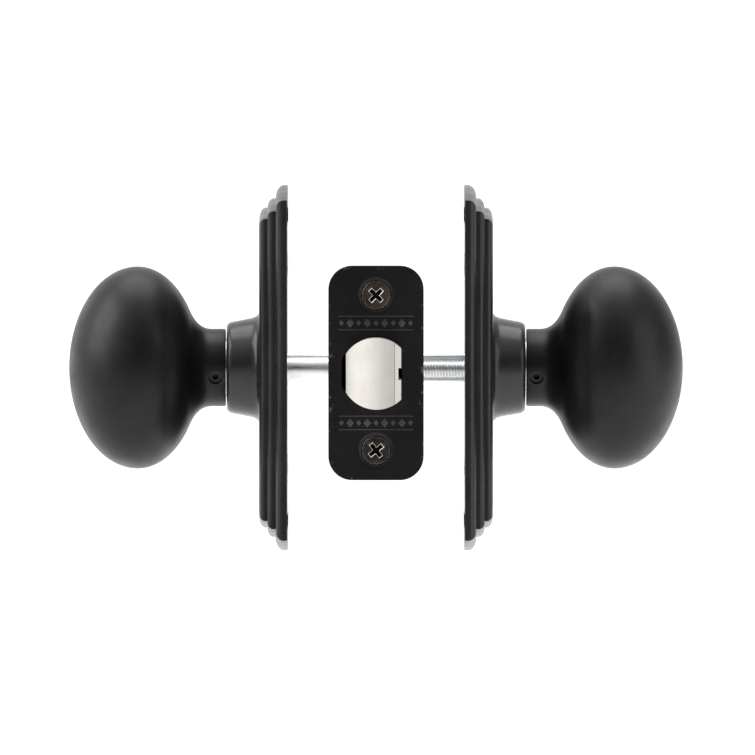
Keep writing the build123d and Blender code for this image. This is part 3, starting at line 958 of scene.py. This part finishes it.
@dataclass
class RosettePlate:
    """Three-tier plate with straight sides and bowed ends, hollow at the back."""

    side: Side
    bow_radius: float = 169.0
    tiers: tuple = ((3.2, 0.0, 2.2, 3.4), (5.4, 3.6, 1.7, 2.3), (7.6, 6.1, 1.7, 2.9))
    pockets: tuple = ((2.0, 2.2), (4.2, 5.4), (6.4, 8.4))
    pocket_corner: float = 3.0
    hole_radius: float = 11.0
    soft_edge: float = 0.25
    side_steps: int = 16

    def outline(self, half_width: float, half_height: float, inset: float) -> list[tuple]:
        """Outline of the plate, anticlockwise, this far inside its edge.

        Args:
            half_width: half of the plate's width.
            half_height: half of its height at the middle of the bows.
            inset: how far in.

        Returns:
            The outline's points.
        """
        radius = self.bow_radius - inset
        reach = math.degrees(math.asin((half_width - inset) / radius))
        centre = half_height - self.bow_radius
        top = arc((0, centre), (radius, radius), 90 - reach, 90 + reach, 48)
        side = [top[-1][1] * (1 - 2 * i / self.side_steps) for i in range(1, self.side_steps)]
        left = [(inset - half_width, y) for y in side]
        half = top + left
        return half + [(-x, -y) for x, y in half]

    def contours(self) -> list[Pair]:
        """Steps of the front as (inset, height), from the door outwards."""
        steps = [(0.0, 0.0)]
        for height, inset, shoulder, run in self.tiers:
            steps += [(inset, steps[-1][1]), (inset, height - shoulder)]
            curve = arc((inset + run, height - shoulder), (run, shoulder), 180, 90, 12)
            steps += curve[1:]
        return [step for i, step in enumerate(steps) if i == 0 or step != steps[i - 1]]

    def build(self) -> bpy.types.Object:
        """Builds the plate.

        Returns:
            The plate's piece.
        """
        node = self.side.prefix + "rosette"
        low, high = box_mm(node)
        bm = bmesh.new()
        loops = [
            loop_of(bm, self.outline(high.y, high.z, inset), height)
            for inset, height in self.contours()
        ]
        for below, above in zip(loops, loops[1:]):
            bmesh.ops.bridge_loops(bm, edges=below + above)
        circle = arc((0, 0), (self.hole_radius, self.hole_radius), 0, 360, 64)[:-1]
        front_hole = loop_of(bm, circle, self.tiers[-1][0])
        filled(bm, loops[-1] + front_hole)
        corner = self.outline(high.y, high.z, 0.0)[0][1]
        outer, depth_before = loops[0], 0.0
        for depth, inset in self.pockets:
            shape = rounded_box(2 * (high.y - inset), 2 * (corner - inset), self.pocket_corner, 8)
            mouth = loop_of(bm, shape, depth_before)
            filled(bm, outer + mouth)
            outer = loop_of(bm, shape, depth)
            bmesh.ops.bridge_loops(bm, edges=mouth + outer)
            depth_before = depth
        back_hole = loop_of(bm, circle, depth_before)
        filled(bm, outer + back_hole)
        bmesh.ops.bridge_loops(bm, edges=back_hole + front_hole)
        bmesh.ops.recalc_face_normals(bm, faces=bm.faces)
        piece = Piece(
            node + "_plate", "root", "satin_black", (PLATE_BLACK,), (node,), 28, self.soft_edge
        )
        return piece.place(bm, edge_of_door(self.side))


# ---------------------------------------------------------------------------
# Latch
# ---------------------------------------------------------------------------


@dataclass
class Faceplate:
    """Faceplate with the bolt's window, two dished screw holes and two bands of lozenges."""

    corner: float = 6.35
    window_radius: float = 9.75
    window_left: float = -9.1
    window_right: float = 6.9
    screw_spacing: float = 41.3
    dish: float = 4.8
    dish_depth: float = 0.3
    hole_front: float = 4.1
    hole_back: float = 2.4
    band_height: float = 13.3
    band_width: float = 20.0
    band_rise: float = 0.05
    rule_offset: float = 1.8
    rule_width: float = 0.22
    lozenges: int = 9
    lozenge_pitch: float = 2.3
    lozenge_sizes: Pair = (0.75, 1.15)
    lozenge_stretch: float = 1.15
    lozenge_top: float = 0.8

    def window(self) -> list[Pair]:
        """Outline of the opening for the bolt: a circle with two flats."""
        right = math.degrees(math.acos(self.window_right / self.window_radius))
        left = math.degrees(math.acos(self.window_left / self.window_radius))
        radii = (self.window_radius, self.window_radius)
        return arc((0, 0), radii, right, left, 30) + arc((0, 0), radii, -left, -right, 30)

    def screw_hole(self, radius: float, height: float) -> list[Pair]:
        """Outline of one screw hole.

        Args:
            radius: its radius.
            height: how far it is from the plate's middle.

        Returns:
            The outline's points.
        """
        return arc((0, height), (radius, radius), 0, 360, 48)[:-1]

    def build(self) -> bpy.types.Object:
        """Builds the plate.

        Returns:
            The plate's piece.
        """
        low, high = box_mm("faceplate")
        thickness = high.y - low.y
        outline = rounded_box(high.x - low.x, high.z - low.z, self.corner, 14)
        holes = (self.screw_spacing / 2, -self.screw_spacing / 2)
        bm = bmesh.new()
        levels = []
        for height, radius in ((0, self.hole_back), (thickness, self.dish)):
            shapes = [outline, self.window()] + [self.screw_hole(radius, y) for y in holes]
            loops = [loop_of(bm, shape, height) for shape in shapes]
            filled(bm, [edge for loop in loops for edge in loop])
            levels.append(loops)
        rests = [None, None]
        for y in holes:
            hole = self.screw_hole(self.hole_front, y)
            rests.append(loop_of(bm, hole, thickness - self.dish_depth))
        for back, front, rest in zip(*levels, rests):
            if rest:
                bmesh.ops.bridge_loops(bm, edges=front + rest)
            bmesh.ops.bridge_loops(bm, edges=back + (rest or front))
        bmesh.ops.recalc_face_normals(bm, faces=bm.faces)
        piece = Piece(
            "faceplate_stamped", "root", "faceplate_black", (FACEPLATE_BLACK,), ("faceplate",),
            15, 0.2,
        )
        return piece.place(bm, along_latch(high.y))

    def build_band(self) -> bpy.types.Object:
        """Builds the lozenges and rules, worn grey, above and below the window.

        Returns:
            The piece that holds both bands.
        """
        low, high = box_mm("faceplate")
        bm = bmesh.new()
        for height in (self.band_height, -self.band_height):
            for i in range(self.lozenges):
                place = (i - (self.lozenges - 1) / 2) * self.lozenge_pitch
                size = self.lozenge_sizes[i % 2]
                stretch = Matrix.Diagonal((1.0, self.lozenge_stretch, 1.0, 1.0))
                bmesh.ops.create_cone(
                    bm, cap_ends=True, segments=4, radius1=size, radius2=self.lozenge_top * size,
                    depth=self.band_rise, matrix=Matrix.Translation((place, height, 0.0)) @ stretch,
                )
            for rule in (height - self.rule_offset, height + self.rule_offset):
                shape = Matrix.Diagonal((self.band_width, self.rule_width, self.band_rise, 1))
                matrix = Matrix.Translation((0, rule, 0)) @ shape
                bmesh.ops.create_cube(bm, size=1, matrix=matrix)
        piece = Piece("faceplate_band", "root", "faceplate_black", (WORN_PAINT,), (), 20)
        return piece.place(bm, along_latch(low.y))


@dataclass
class FaceplateScrew:
    """Countersunk wood screw with a worn rim, made bright as painted highlight, and a cross recess
    painted dark as shade.

    rim_steps are (inwards from the head's edge, down from its face), from the face outwards.
    """

    head_radius: float = 3.75
    neck_radius: float = 1.88
    core_radius: float = 1.55
    thread_radius: float = 2.1
    pitch: float = 1.7
    head_depth: float = 1.85
    neck: float = 3.6
    neck_taper: float = 0.5
    root_depth: float = 0.3
    thread_ends: Pair = (1.0, 0.4)
    point: float = 4.0
    point_radii: Pair = (0.3, 2.3)
    tip: Pair = (0.25, 0.1)
    recess_reach: float = 2.5
    recess_width: float = 1.2
    recess_depth: float = 1.5
    recess_over: float = 0.5
    recess_taper: Pair = (0.45, 0.6)
    recess_edge: float = 0.1
    rim: float = 0.2
    rim_depth: float = 0.35
    rim_steps: tuple = ((0.5, 0.0), (0.16, 0.04), (0.0, 0.22), (0.0, 0.3))
    bronze_depth: float = 0.8325
    tip_reach: float = 0.9
    seat: float = 0.1
    turn: float = 45.0

    def build(self, name: str, height: float, stands_for: tuple[str, ...]) -> bpy.types.Object:
        """Builds one screw.

        Args:
            name: the piece's name.
            height: how far its axis is above the latch's.
            stands_for: the CAD nodes that it replaces.

        Returns:
            The screw's piece.
        """
        low, high = box_mm("faceplate_screws")
        length = high.y - low.y
        top = length - self.seat
        neck_end = top - self.neck
        profile = [(0, top)]
        profile += [(self.head_radius - inwards, top - down) for inwards, down in self.rim_steps]
        profile += [(self.neck_radius, top - self.head_depth), (self.neck_radius, neck_end)]
        profile += [(self.core_radius, neck_end - self.neck_taper)]
        profile += [(self.core_radius, self.point), self.tip, (0, 0)]
        bm = spun(profile, 64)
        cutters = []
        for turn in (self.turn, self.turn + 90):
            arm = block(
                (-self.recess_reach, -self.recess_width / 2, top - self.recess_depth),
                (self.recess_reach, self.recess_width / 2, top + self.recess_over),
            )
            for vert in arm.verts:
                if vert.co.z < top:
                    vert.co.x *= self.recess_taper[0]
                    vert.co.y *= self.recess_taper[1]
            bmesh.ops.transform(arm, matrix=turned(turn, "Z"), verts=arm.verts)
            cutters.append(arm)
        bm = carved(bm, cutters)
        root = self.core_radius - self.root_depth
        first, last = self.thread_ends
        add_thread(bm, root, self.thread_radius, self.pitch, first, neck_end - last)
        for vert in bm.verts:
            reach = off_axis(vert.co)
            tip, foot = self.point_radii
            limit = tip + (foot - tip) * min(vert.co.z / self.point, 1.0)
            if vert.co.z < self.point and reach > limit:
                vert.co.x *= limit / reach
                vert.co.y *= limit / reach
        self.paint(bm, top)
        piece = Piece(
            name, "root", "screw_bronze", (SCREW_BRONZE, WORN_AND_HIGHLIGHT_STEEL, PAINTED_SHADE_BLACK, ZINC),
            stands_for, 30,
        )
        return piece.place(bm, Matrix.Translation((0, 0, height)) @ along_latch(high.y))

    def paint(self, bm: Mesh, top: float) -> None:
        """Gives the rim, the recess and the shank their own finishes: the rim and the recess's lips
        bright worn steel that also stands in for their highlight, the recess near-black as painted
        shade.

        Args:
            bm: the screw's mesh.
            top: height of the head's face.
        """
        for face in bm.faces:
            face.normal_update()
            middle = face.calc_center_median()
            reach, down = off_axis(middle), top - middle.z
            in_recess = reach < self.recess_reach and down < self.recess_depth
            if down > self.bronze_depth and reach > self.tip_reach and not in_recess:
                face.material_index = 3
            # The rim gets the bright worn steel, which also stands in for its painted highlight.
            elif reach > self.head_radius - self.rim and down < self.rim_depth:
                face.material_index = 1
            # The cross recess is painted near-black as shade.
            elif reach < self.recess_reach and down > FLUSH:
                face.material_index = 2
        # The recess's lips are bevelled and given the bright worn steel too, as painted glints.
        lips = [
            edge for edge in bm.edges
            if {face.material_index for face in edge.link_faces} == {0, 2}
        ]
        worn = bmesh.ops.bevel(
            bm, geom=lips, offset=self.recess_edge, segments=1, profile=0.5, affect="EDGES"
        )
        for face in worn["faces"]:
            face.material_index = 1


@dataclass
class LatchBolt:
    """Sloped bolt with two flats and a groove down its strike side.

    slope_middle is (across, along the latch). tail_slot is (width, height, depth) and spring_bore
    is (radius, depth), both in the bolt's back.
    """

    radius: float = 9.5
    left: float = -8.0
    right: float = 6.7
    nose_width: float = 1.65
    slope_middle: Pair = (-2.6, -69.5)
    slope_foot: float = -62.5
    groove_depth: float = 0.75
    groove_width: float = 3.2
    line: float = 0.22
    tail_slot: Triple = (10.9, 17.7, 6.1)
    spring_bore: Pair = (4.8, 15.0)
    facets: int = 16

    def trimmed(self, bm: Mesh, point: tuple, outwards: tuple) -> None:
        """Cuts away what lies beyond a plane and closes the cut.

        Args:
            bm: the mesh.
            point: a point on the plane.
            outwards: the direction of what is cut away.
        """
        everything = list(bm.verts) + list(bm.edges) + list(bm.faces)
        cut = bmesh.ops.bisect_plane(
            bm, geom=everything, plane_co=point, plane_no=outwards, clear_outer=True
        )
        rim = [item for item in cut["geom_cut"] if isinstance(item, bmesh.types.BMEdge)]
        if rim:
            bmesh.ops.contextual_create(bm, geom=rim)

    def slope(self, back: float, front: float) -> list[tuple[Vector, Vector]]:
        """Planes that touch the bolt's bowed slope.

        Args:
            back: the bolt's tail end along the latch.
            front: its nose end.

        Returns:
            A point and an outward direction for each plane.
        """
        start = Vector((self.right - self.nose_width, back - front))
        middle = Vector((self.slope_middle[0], back - self.slope_middle[1]))
        foot = Vector((self.left, back - self.slope_foot))
        pull = 2 * middle - (start + foot) / 2
        points = [Vector(p) for p in bezier(start, pull, foot, self.facets)]
        planes = []
        for here, there in zip(points, points[1:]):
            run = there - here
            planes.append((Vector((here.x, 0, here.y)), Vector((run.y, 0, -run.x)).normalized()))
        return planes

    def build(self) -> bpy.types.Object:
        """Builds the bolt.

        Returns:
            The bolt's piece.
        """
        low, high = box_mm("latch_bolt")
        length = high.y - low.y
        bm = rod(self.radius, 0, length, 128)
        self.trimmed(bm, (self.left, 0, 0), (-1, 0, 0))
        self.trimmed(bm, (self.right, 0, 0), (1, 0, 0))
        for point, outwards in self.slope(high.y, low.y):
            facing = outwards if outwards.z > 0 else -outwards
            self.trimmed(bm, point, facing)
        width, height, depth = self.tail_slot
        radius, bore = self.spring_bore
        reach = self.groove_width / 2
        edge = self.right - self.nose_width
        floor, front = self.right - self.groove_depth, length + PAST
        line = (edge - self.line, -self.radius, length - self.line)
        cutters = [
            block((floor, -reach, -PAST), (self.right + PAST, reach, front)),
            block((-width / 2, -height / 2, -PAST), (width / 2, height / 2, depth)),
            rod(radius, depth - PAST, bore),
            block(line, (edge, self.radius, front)),
        ]
        bm = carved(bm, cutters)
        bmesh.ops.recalc_face_normals(bm, faces=bm.faces)
        # The nose flat gets the lighter copy of the nickel: painted light on the face turned to the
        # dark front.
        for face in bm.faces:
            middle = face.calc_center_median()
            if middle.x > edge - NEAR and middle.z > length - NEAR:
                face.material_index = 1
        piece = Piece(
            "latch_bolt_cast", "latch", "satin_nickel", (SATIN_NICKEL, LIT_NOSE_NICKEL),
            ("latch_bolt",), 22, 0.2,
        )
        return piece.place(bm, along_latch(high.y))


@dataclass
class LatchBarrel:
    """Drawn tube behind the faceplate, with rounded lips, a groove and four staked dimples."""

    bore: float = 9.9
    radius: float = 11.1
    lip: float = 0.35
    groove: tuple = ((8.0, 8.4), (9.4, 9.8))
    groove_depth: float = 0.25
    stakes: int = 4
    stake_radius: float = 0.9
    stake_depth: float = 0.55
    stake_place: float = 5.0

    def build(self) -> bpy.types.Object:
        """Builds the barrel.

        Returns:
            The barrel's piece.
        """
        low, high = box_mm("latch_barrel")
        length = high.y - low.y
        (start, down), (up, end) = self.groove
        floor = self.radius - self.groove_depth
        profile = [
            (self.bore, 0), (self.radius - self.lip, 0), (self.radius, self.lip),
            (self.radius, start), (floor, down), (floor, up), (self.radius, end),
            (self.radius, length - self.lip), (self.radius - self.lip, length),
            (self.bore, length), (self.bore, 0),
        ]
        bm = spun(profile, 96)
        drills = []
        place = Matrix.Translation((0, 0, length - self.stake_place))
        for i in range(self.stakes):
            deep = self.radius - self.stake_depth
            drill = rod(self.stake_radius, deep, self.radius + PAST, 24)
            aim = place @ turned(360 * (i + 0.5) / self.stakes, "Z") @ turned(90, "Y")
            bmesh.ops.transform(drill, matrix=aim, verts=drill.verts)
            drills.append(drill)
        bm = carved(bm, drills)
        # The bore is painted near-black as shade.
        for face in bm.faces:
            if off_axis(face.calc_center_median()) < self.bore + NEAR:
                face.material_index = 1
        piece = Piece(
            "latch_barrel_tube", "root", "zinc_plate", (ZINC_DRAWN, PAINTED_SHADE_BLACK),
            ("latch_barrel",), 30,
        )
        return piece.place(bm, along_latch(high.y))


@dataclass
class ThroughBolts:
    """Two cross-slotted machine screws from the inside mounting plate into the posts."""

    offset: float = 20.0
    radius: float = 2.4
    core: float = 2.05
    pitch: float = 0.8
    head_radius: float = 4.0
    head_height: float = 2.6
    head_foot: Pair = (0.15, 0.2)
    dome_start: float = 0.9
    crown: float = 1.6
    slot_width: float = 1.2
    slot_floor: float = 1.1
    tip: Pair = (0.4, 0.5)
    root_depth: float = 0.2
    thread_ends: Pair = (0.6, 0.2)
    plate: float = 1.5

    def build(self) -> list[bpy.types.Object]:
        """Builds both screws.

        Returns:
            Their pieces.
        """
        low, high = box_mm("through_bolts")
        wall = edge_of_door(Side.INSIDE).translation.x
        length = wall + self.plate - low.x
        top = length + self.head_height
        inwards, up = self.head_foot
        dome = bezier(
            (self.head_radius, length + self.dome_start), (self.head_radius, top),
            (self.head_radius - self.crown, top), 8,
        )
        profile = [(0, 0), (self.core - self.tip[0], 0), (self.core, self.tip[1])]
        profile += [(self.core, length), (self.head_radius - inwards, length)]
        profile += [(self.head_radius, length + up)] + dome + [(0, top)]
        reach, half = self.head_radius + PAST, self.slot_width / 2
        floor, over = length + self.slot_floor, top + PAST
        first, last = self.thread_ends
        made = []
        for name, place, nodes in (
            ("front_through_bolt", -self.offset, ("through_bolts",)),
            ("rear_through_bolt", self.offset, ()),
        ):
            slot = block((-reach, -half, floor), (reach, half, over))
            cross = block((-half, -reach, floor), (half, reach, over))
            bm = carved(spun(profile, 48), [slot, cross])
            root = self.core - self.root_depth
            add_thread(bm, root, self.radius, self.pitch, first, length - last)
            aim = Matrix.Translation((low.x, place, 0)) @ turned(90, "Y")
            piece = Piece(name, "root", "zinc_plate", (ZINC,), nodes, 30)
            made.append(piece.place(bm, aim))
        return made


@dataclass
class CoilSpring:
    """Compression spring round the latch's axis, with a mesh of its own."""

    coil_radius: float = 4.0
    wire_radius: float = 0.45
    turns: int = 9
    steps: int = 40
    travel: float = 12.7

    def build(self) -> bpy.types.Object:
        """Builds the spring.

        Returns:
            The spring's piece.
        """
        low, high = box_mm("bolt_spring")
        length = high.y - low.y
        bm = bmesh.new()
        bmesh.ops.create_circle(
            bm, cap_ends=True, segments=12, radius=self.wire_radius,
            matrix=Matrix.Translation((self.coil_radius, 0, self.wire_radius)) @ turned(90, "X"),
        )
        rise = (length - 2 * self.wire_radius) / self.turns
        sweep(bm, next(iter(bm.faces)), self.turns, self.steps, rise)
        piece = Piece("bolt_spring_coil", "root", "spring_steel", (SPRING_WIRE,), ("bolt_spring",))
        made = piece.place(bm, along_latch(high.y))
        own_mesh(made)
        return made


# ---------------------------------------------------------------------------
# Pieces whose CAD shape already is the finished one
# ---------------------------------------------------------------------------


@dataclass
class PlainHardware:
    """CAD nodes that keep their shape and only get their finish."""

    finishes: dict = field(default_factory=lambda: {
        "bushing": NYLON,
        "return_spring": SPRING_WIRE,
        "knob_shank": ZINC_BAR,
        "snap_ring": SPRING_WIRE,
        "set_screw": BLACK_OXIDE,
        "spindle": ZINC_BAR,
        "threaded_posts": ZINC_BAR,
        "latch_case_left": ZINC_CASE,
        "latch_case_right": ZINC_CASE,
        "bolt_tail": ZINC_DRAWN,
    })

    def dress(self) -> None:
        """Gives each node its finish, which is plain zinc plate where none is named."""
        for node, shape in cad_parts.items():
            plain = node.removeprefix("outside_").removeprefix("inside_")
            finish = self.finishes.get(plain, ZINC)
            shape.data.materials.clear()
            shape.data.materials.append(SHELF.get(finish))
            LOG.info("%s: %s", node, finish.name)


# ---------------------------------------------------------------------------
# Studio
# ---------------------------------------------------------------------------


@dataclass
class Studio:
    """Glowing floor, white room, soft lights and the camera. Sizes are in metres.

    lights are (name, place, size, power in watts).
    """

    floor_drop: float = 0.25
    floor_reach: float = 60.0
    sky: float = 1.05
    shade: float = 0.08
    fade: Pair = (-0.97, -0.35)
    flag: float = 0.3
    flag_reach: Pair = (0.3, 0.8)
    floor_grey: Triple = (0.7, 0.7, 0.7)
    floor_glow: float = 0.62
    glow_from: float = -2.0
    glow_full: float = 1.0
    glow_lean: float = 0.8
    lean_reach: float = 0.5
    distance: float = 5.0
    elevation: float = 1.42
    picture_width: float = 0.2035
    aim: Triple = (0.0004, 0.0, -0.0027)
    lights: tuple = (
        ("top_box", (0.0, 0.3, 1.6), (1.6, 1.2), 16),
        ("left_box", (-1.3, -0.15, 0.8), (1.1, 1.3), 16),
        ("right_box", (1.4, -0.6, 0.4), (1.2, 1.4), 6.5),
    )

    def floor(self) -> None:
        """Lays the floor."""
        bm = bmesh.new()
        bmesh.ops.create_grid(
            bm, x_segments=2, y_segments=2, size=self.floor_reach,
            matrix=Matrix.Translation((0, 0, cad_box[0].z - self.floor_drop)),
        )
        made = wrapped(bm, "floor")
        board = NodeBoard.of_material("floor_paper")
        across, along, _ = board.parts_of_place()
        lean = board.ramp(
            across, -self.lean_reach, self.lean_reach, -self.glow_lean, self.glow_lean
        )
        glow = board.ramp(
            board.sum("ADD", lean, along), self.glow_from, self.glow_full, 0.0, self.floor_glow,
            "SMOOTHSTEP",
        )
        board.fill(board.shader, {
            "Base Color": (*self.floor_grey, 1), "Roughness": 0.9, "Specular IOR Level": 0.1,
            "Emission Color": (1, 1, 1, 1), "Emission Strength": glow,
        })
        made.data.materials.append(board.owner)

    def room(self) -> None:
        """Builds the white room, darker behind the camera and to the right."""
        board = NodeBoard(bpy.data.worlds.new("studio"), "Generated")
        across, along, _ = board.parts_of_place()
        fade = board.ramp(along, *self.fade, self.shade, self.sky, "SMOOTHSTEP")
        flag = board.ramp(across, *self.flag_reach, 1.0, self.flag)
        strength = board.sum("MULTIPLY", fade, flag)
        board.fill(board.shader, {"Color": (1, 1, 1, 1), "Strength": strength})
        bpy.context.scene.world = board.owner

    def light(self, name: str, place: Triple, size: Pair, power: float) -> None:
        """Hangs one soft box that faces the object.

        Args:
            name: its name.
            place: where it hangs.
            size: its width and height.
            power: its power in watts.
        """
        lamp = bpy.data.lights.new(name, "AREA")
        lamp.shape = "RECTANGLE"
        lamp.size, lamp.size_y = size
        lamp.energy = power
        made = bpy.data.objects.new(name, lamp)
        made.location = place
        made.rotation_euler = (-Vector(place)).to_track_quat("-Z", "Y").to_euler()
        bpy.context.scene.collection.objects.link(made)

    def build(self) -> None:
        """Builds the studio."""
        self.floor()
        bpy.context.scene.view_settings.view_transform = "Standard"
        self.room()
        for light in self.lights:
            self.light(*light)
        lens = bpy.data.cameras.new("camera")
        lens.lens = lens.sensor_width * self.distance / self.picture_width
        lens.clip_end = 2 * self.floor_reach
        camera = bpy.data.objects.new("camera", lens)
        tilt = math.radians(self.elevation)
        back = Vector((0, -math.cos(tilt), math.sin(tilt)))
        camera.location = Vector(self.aim) + self.distance * back
        camera.rotation_euler = (-back).to_track_quat("-Z", "Y").to_euler()
        bpy.context.scene.collection.objects.link(camera)
        bpy.context.scene.camera = camera


def main() -> None:
    """Builds the knob set piece by piece, then its studio."""
    logging.basicConfig(level=logging.INFO, format="%(message)s")
    PlainHardware().dress()
    for side in Side:
        KnobCasting(side).build()
        Collar(side).build()
        RosettePlate(side).build()
    plate = Faceplate()
    plate.build()
    plate.build_band()
    half = plate.screw_spacing / 2
    FaceplateScrew().build("upper_faceplate_screw", half, ("faceplate_screws",))
    FaceplateScrew(turn=38.0).build("lower_faceplate_screw", -half, ())
    LatchBolt().build()
    LatchBarrel().build()
    ThroughBolts().build()
    CoilSpring().build()
    Studio().build()


if __name__ == "__main__":
    main()
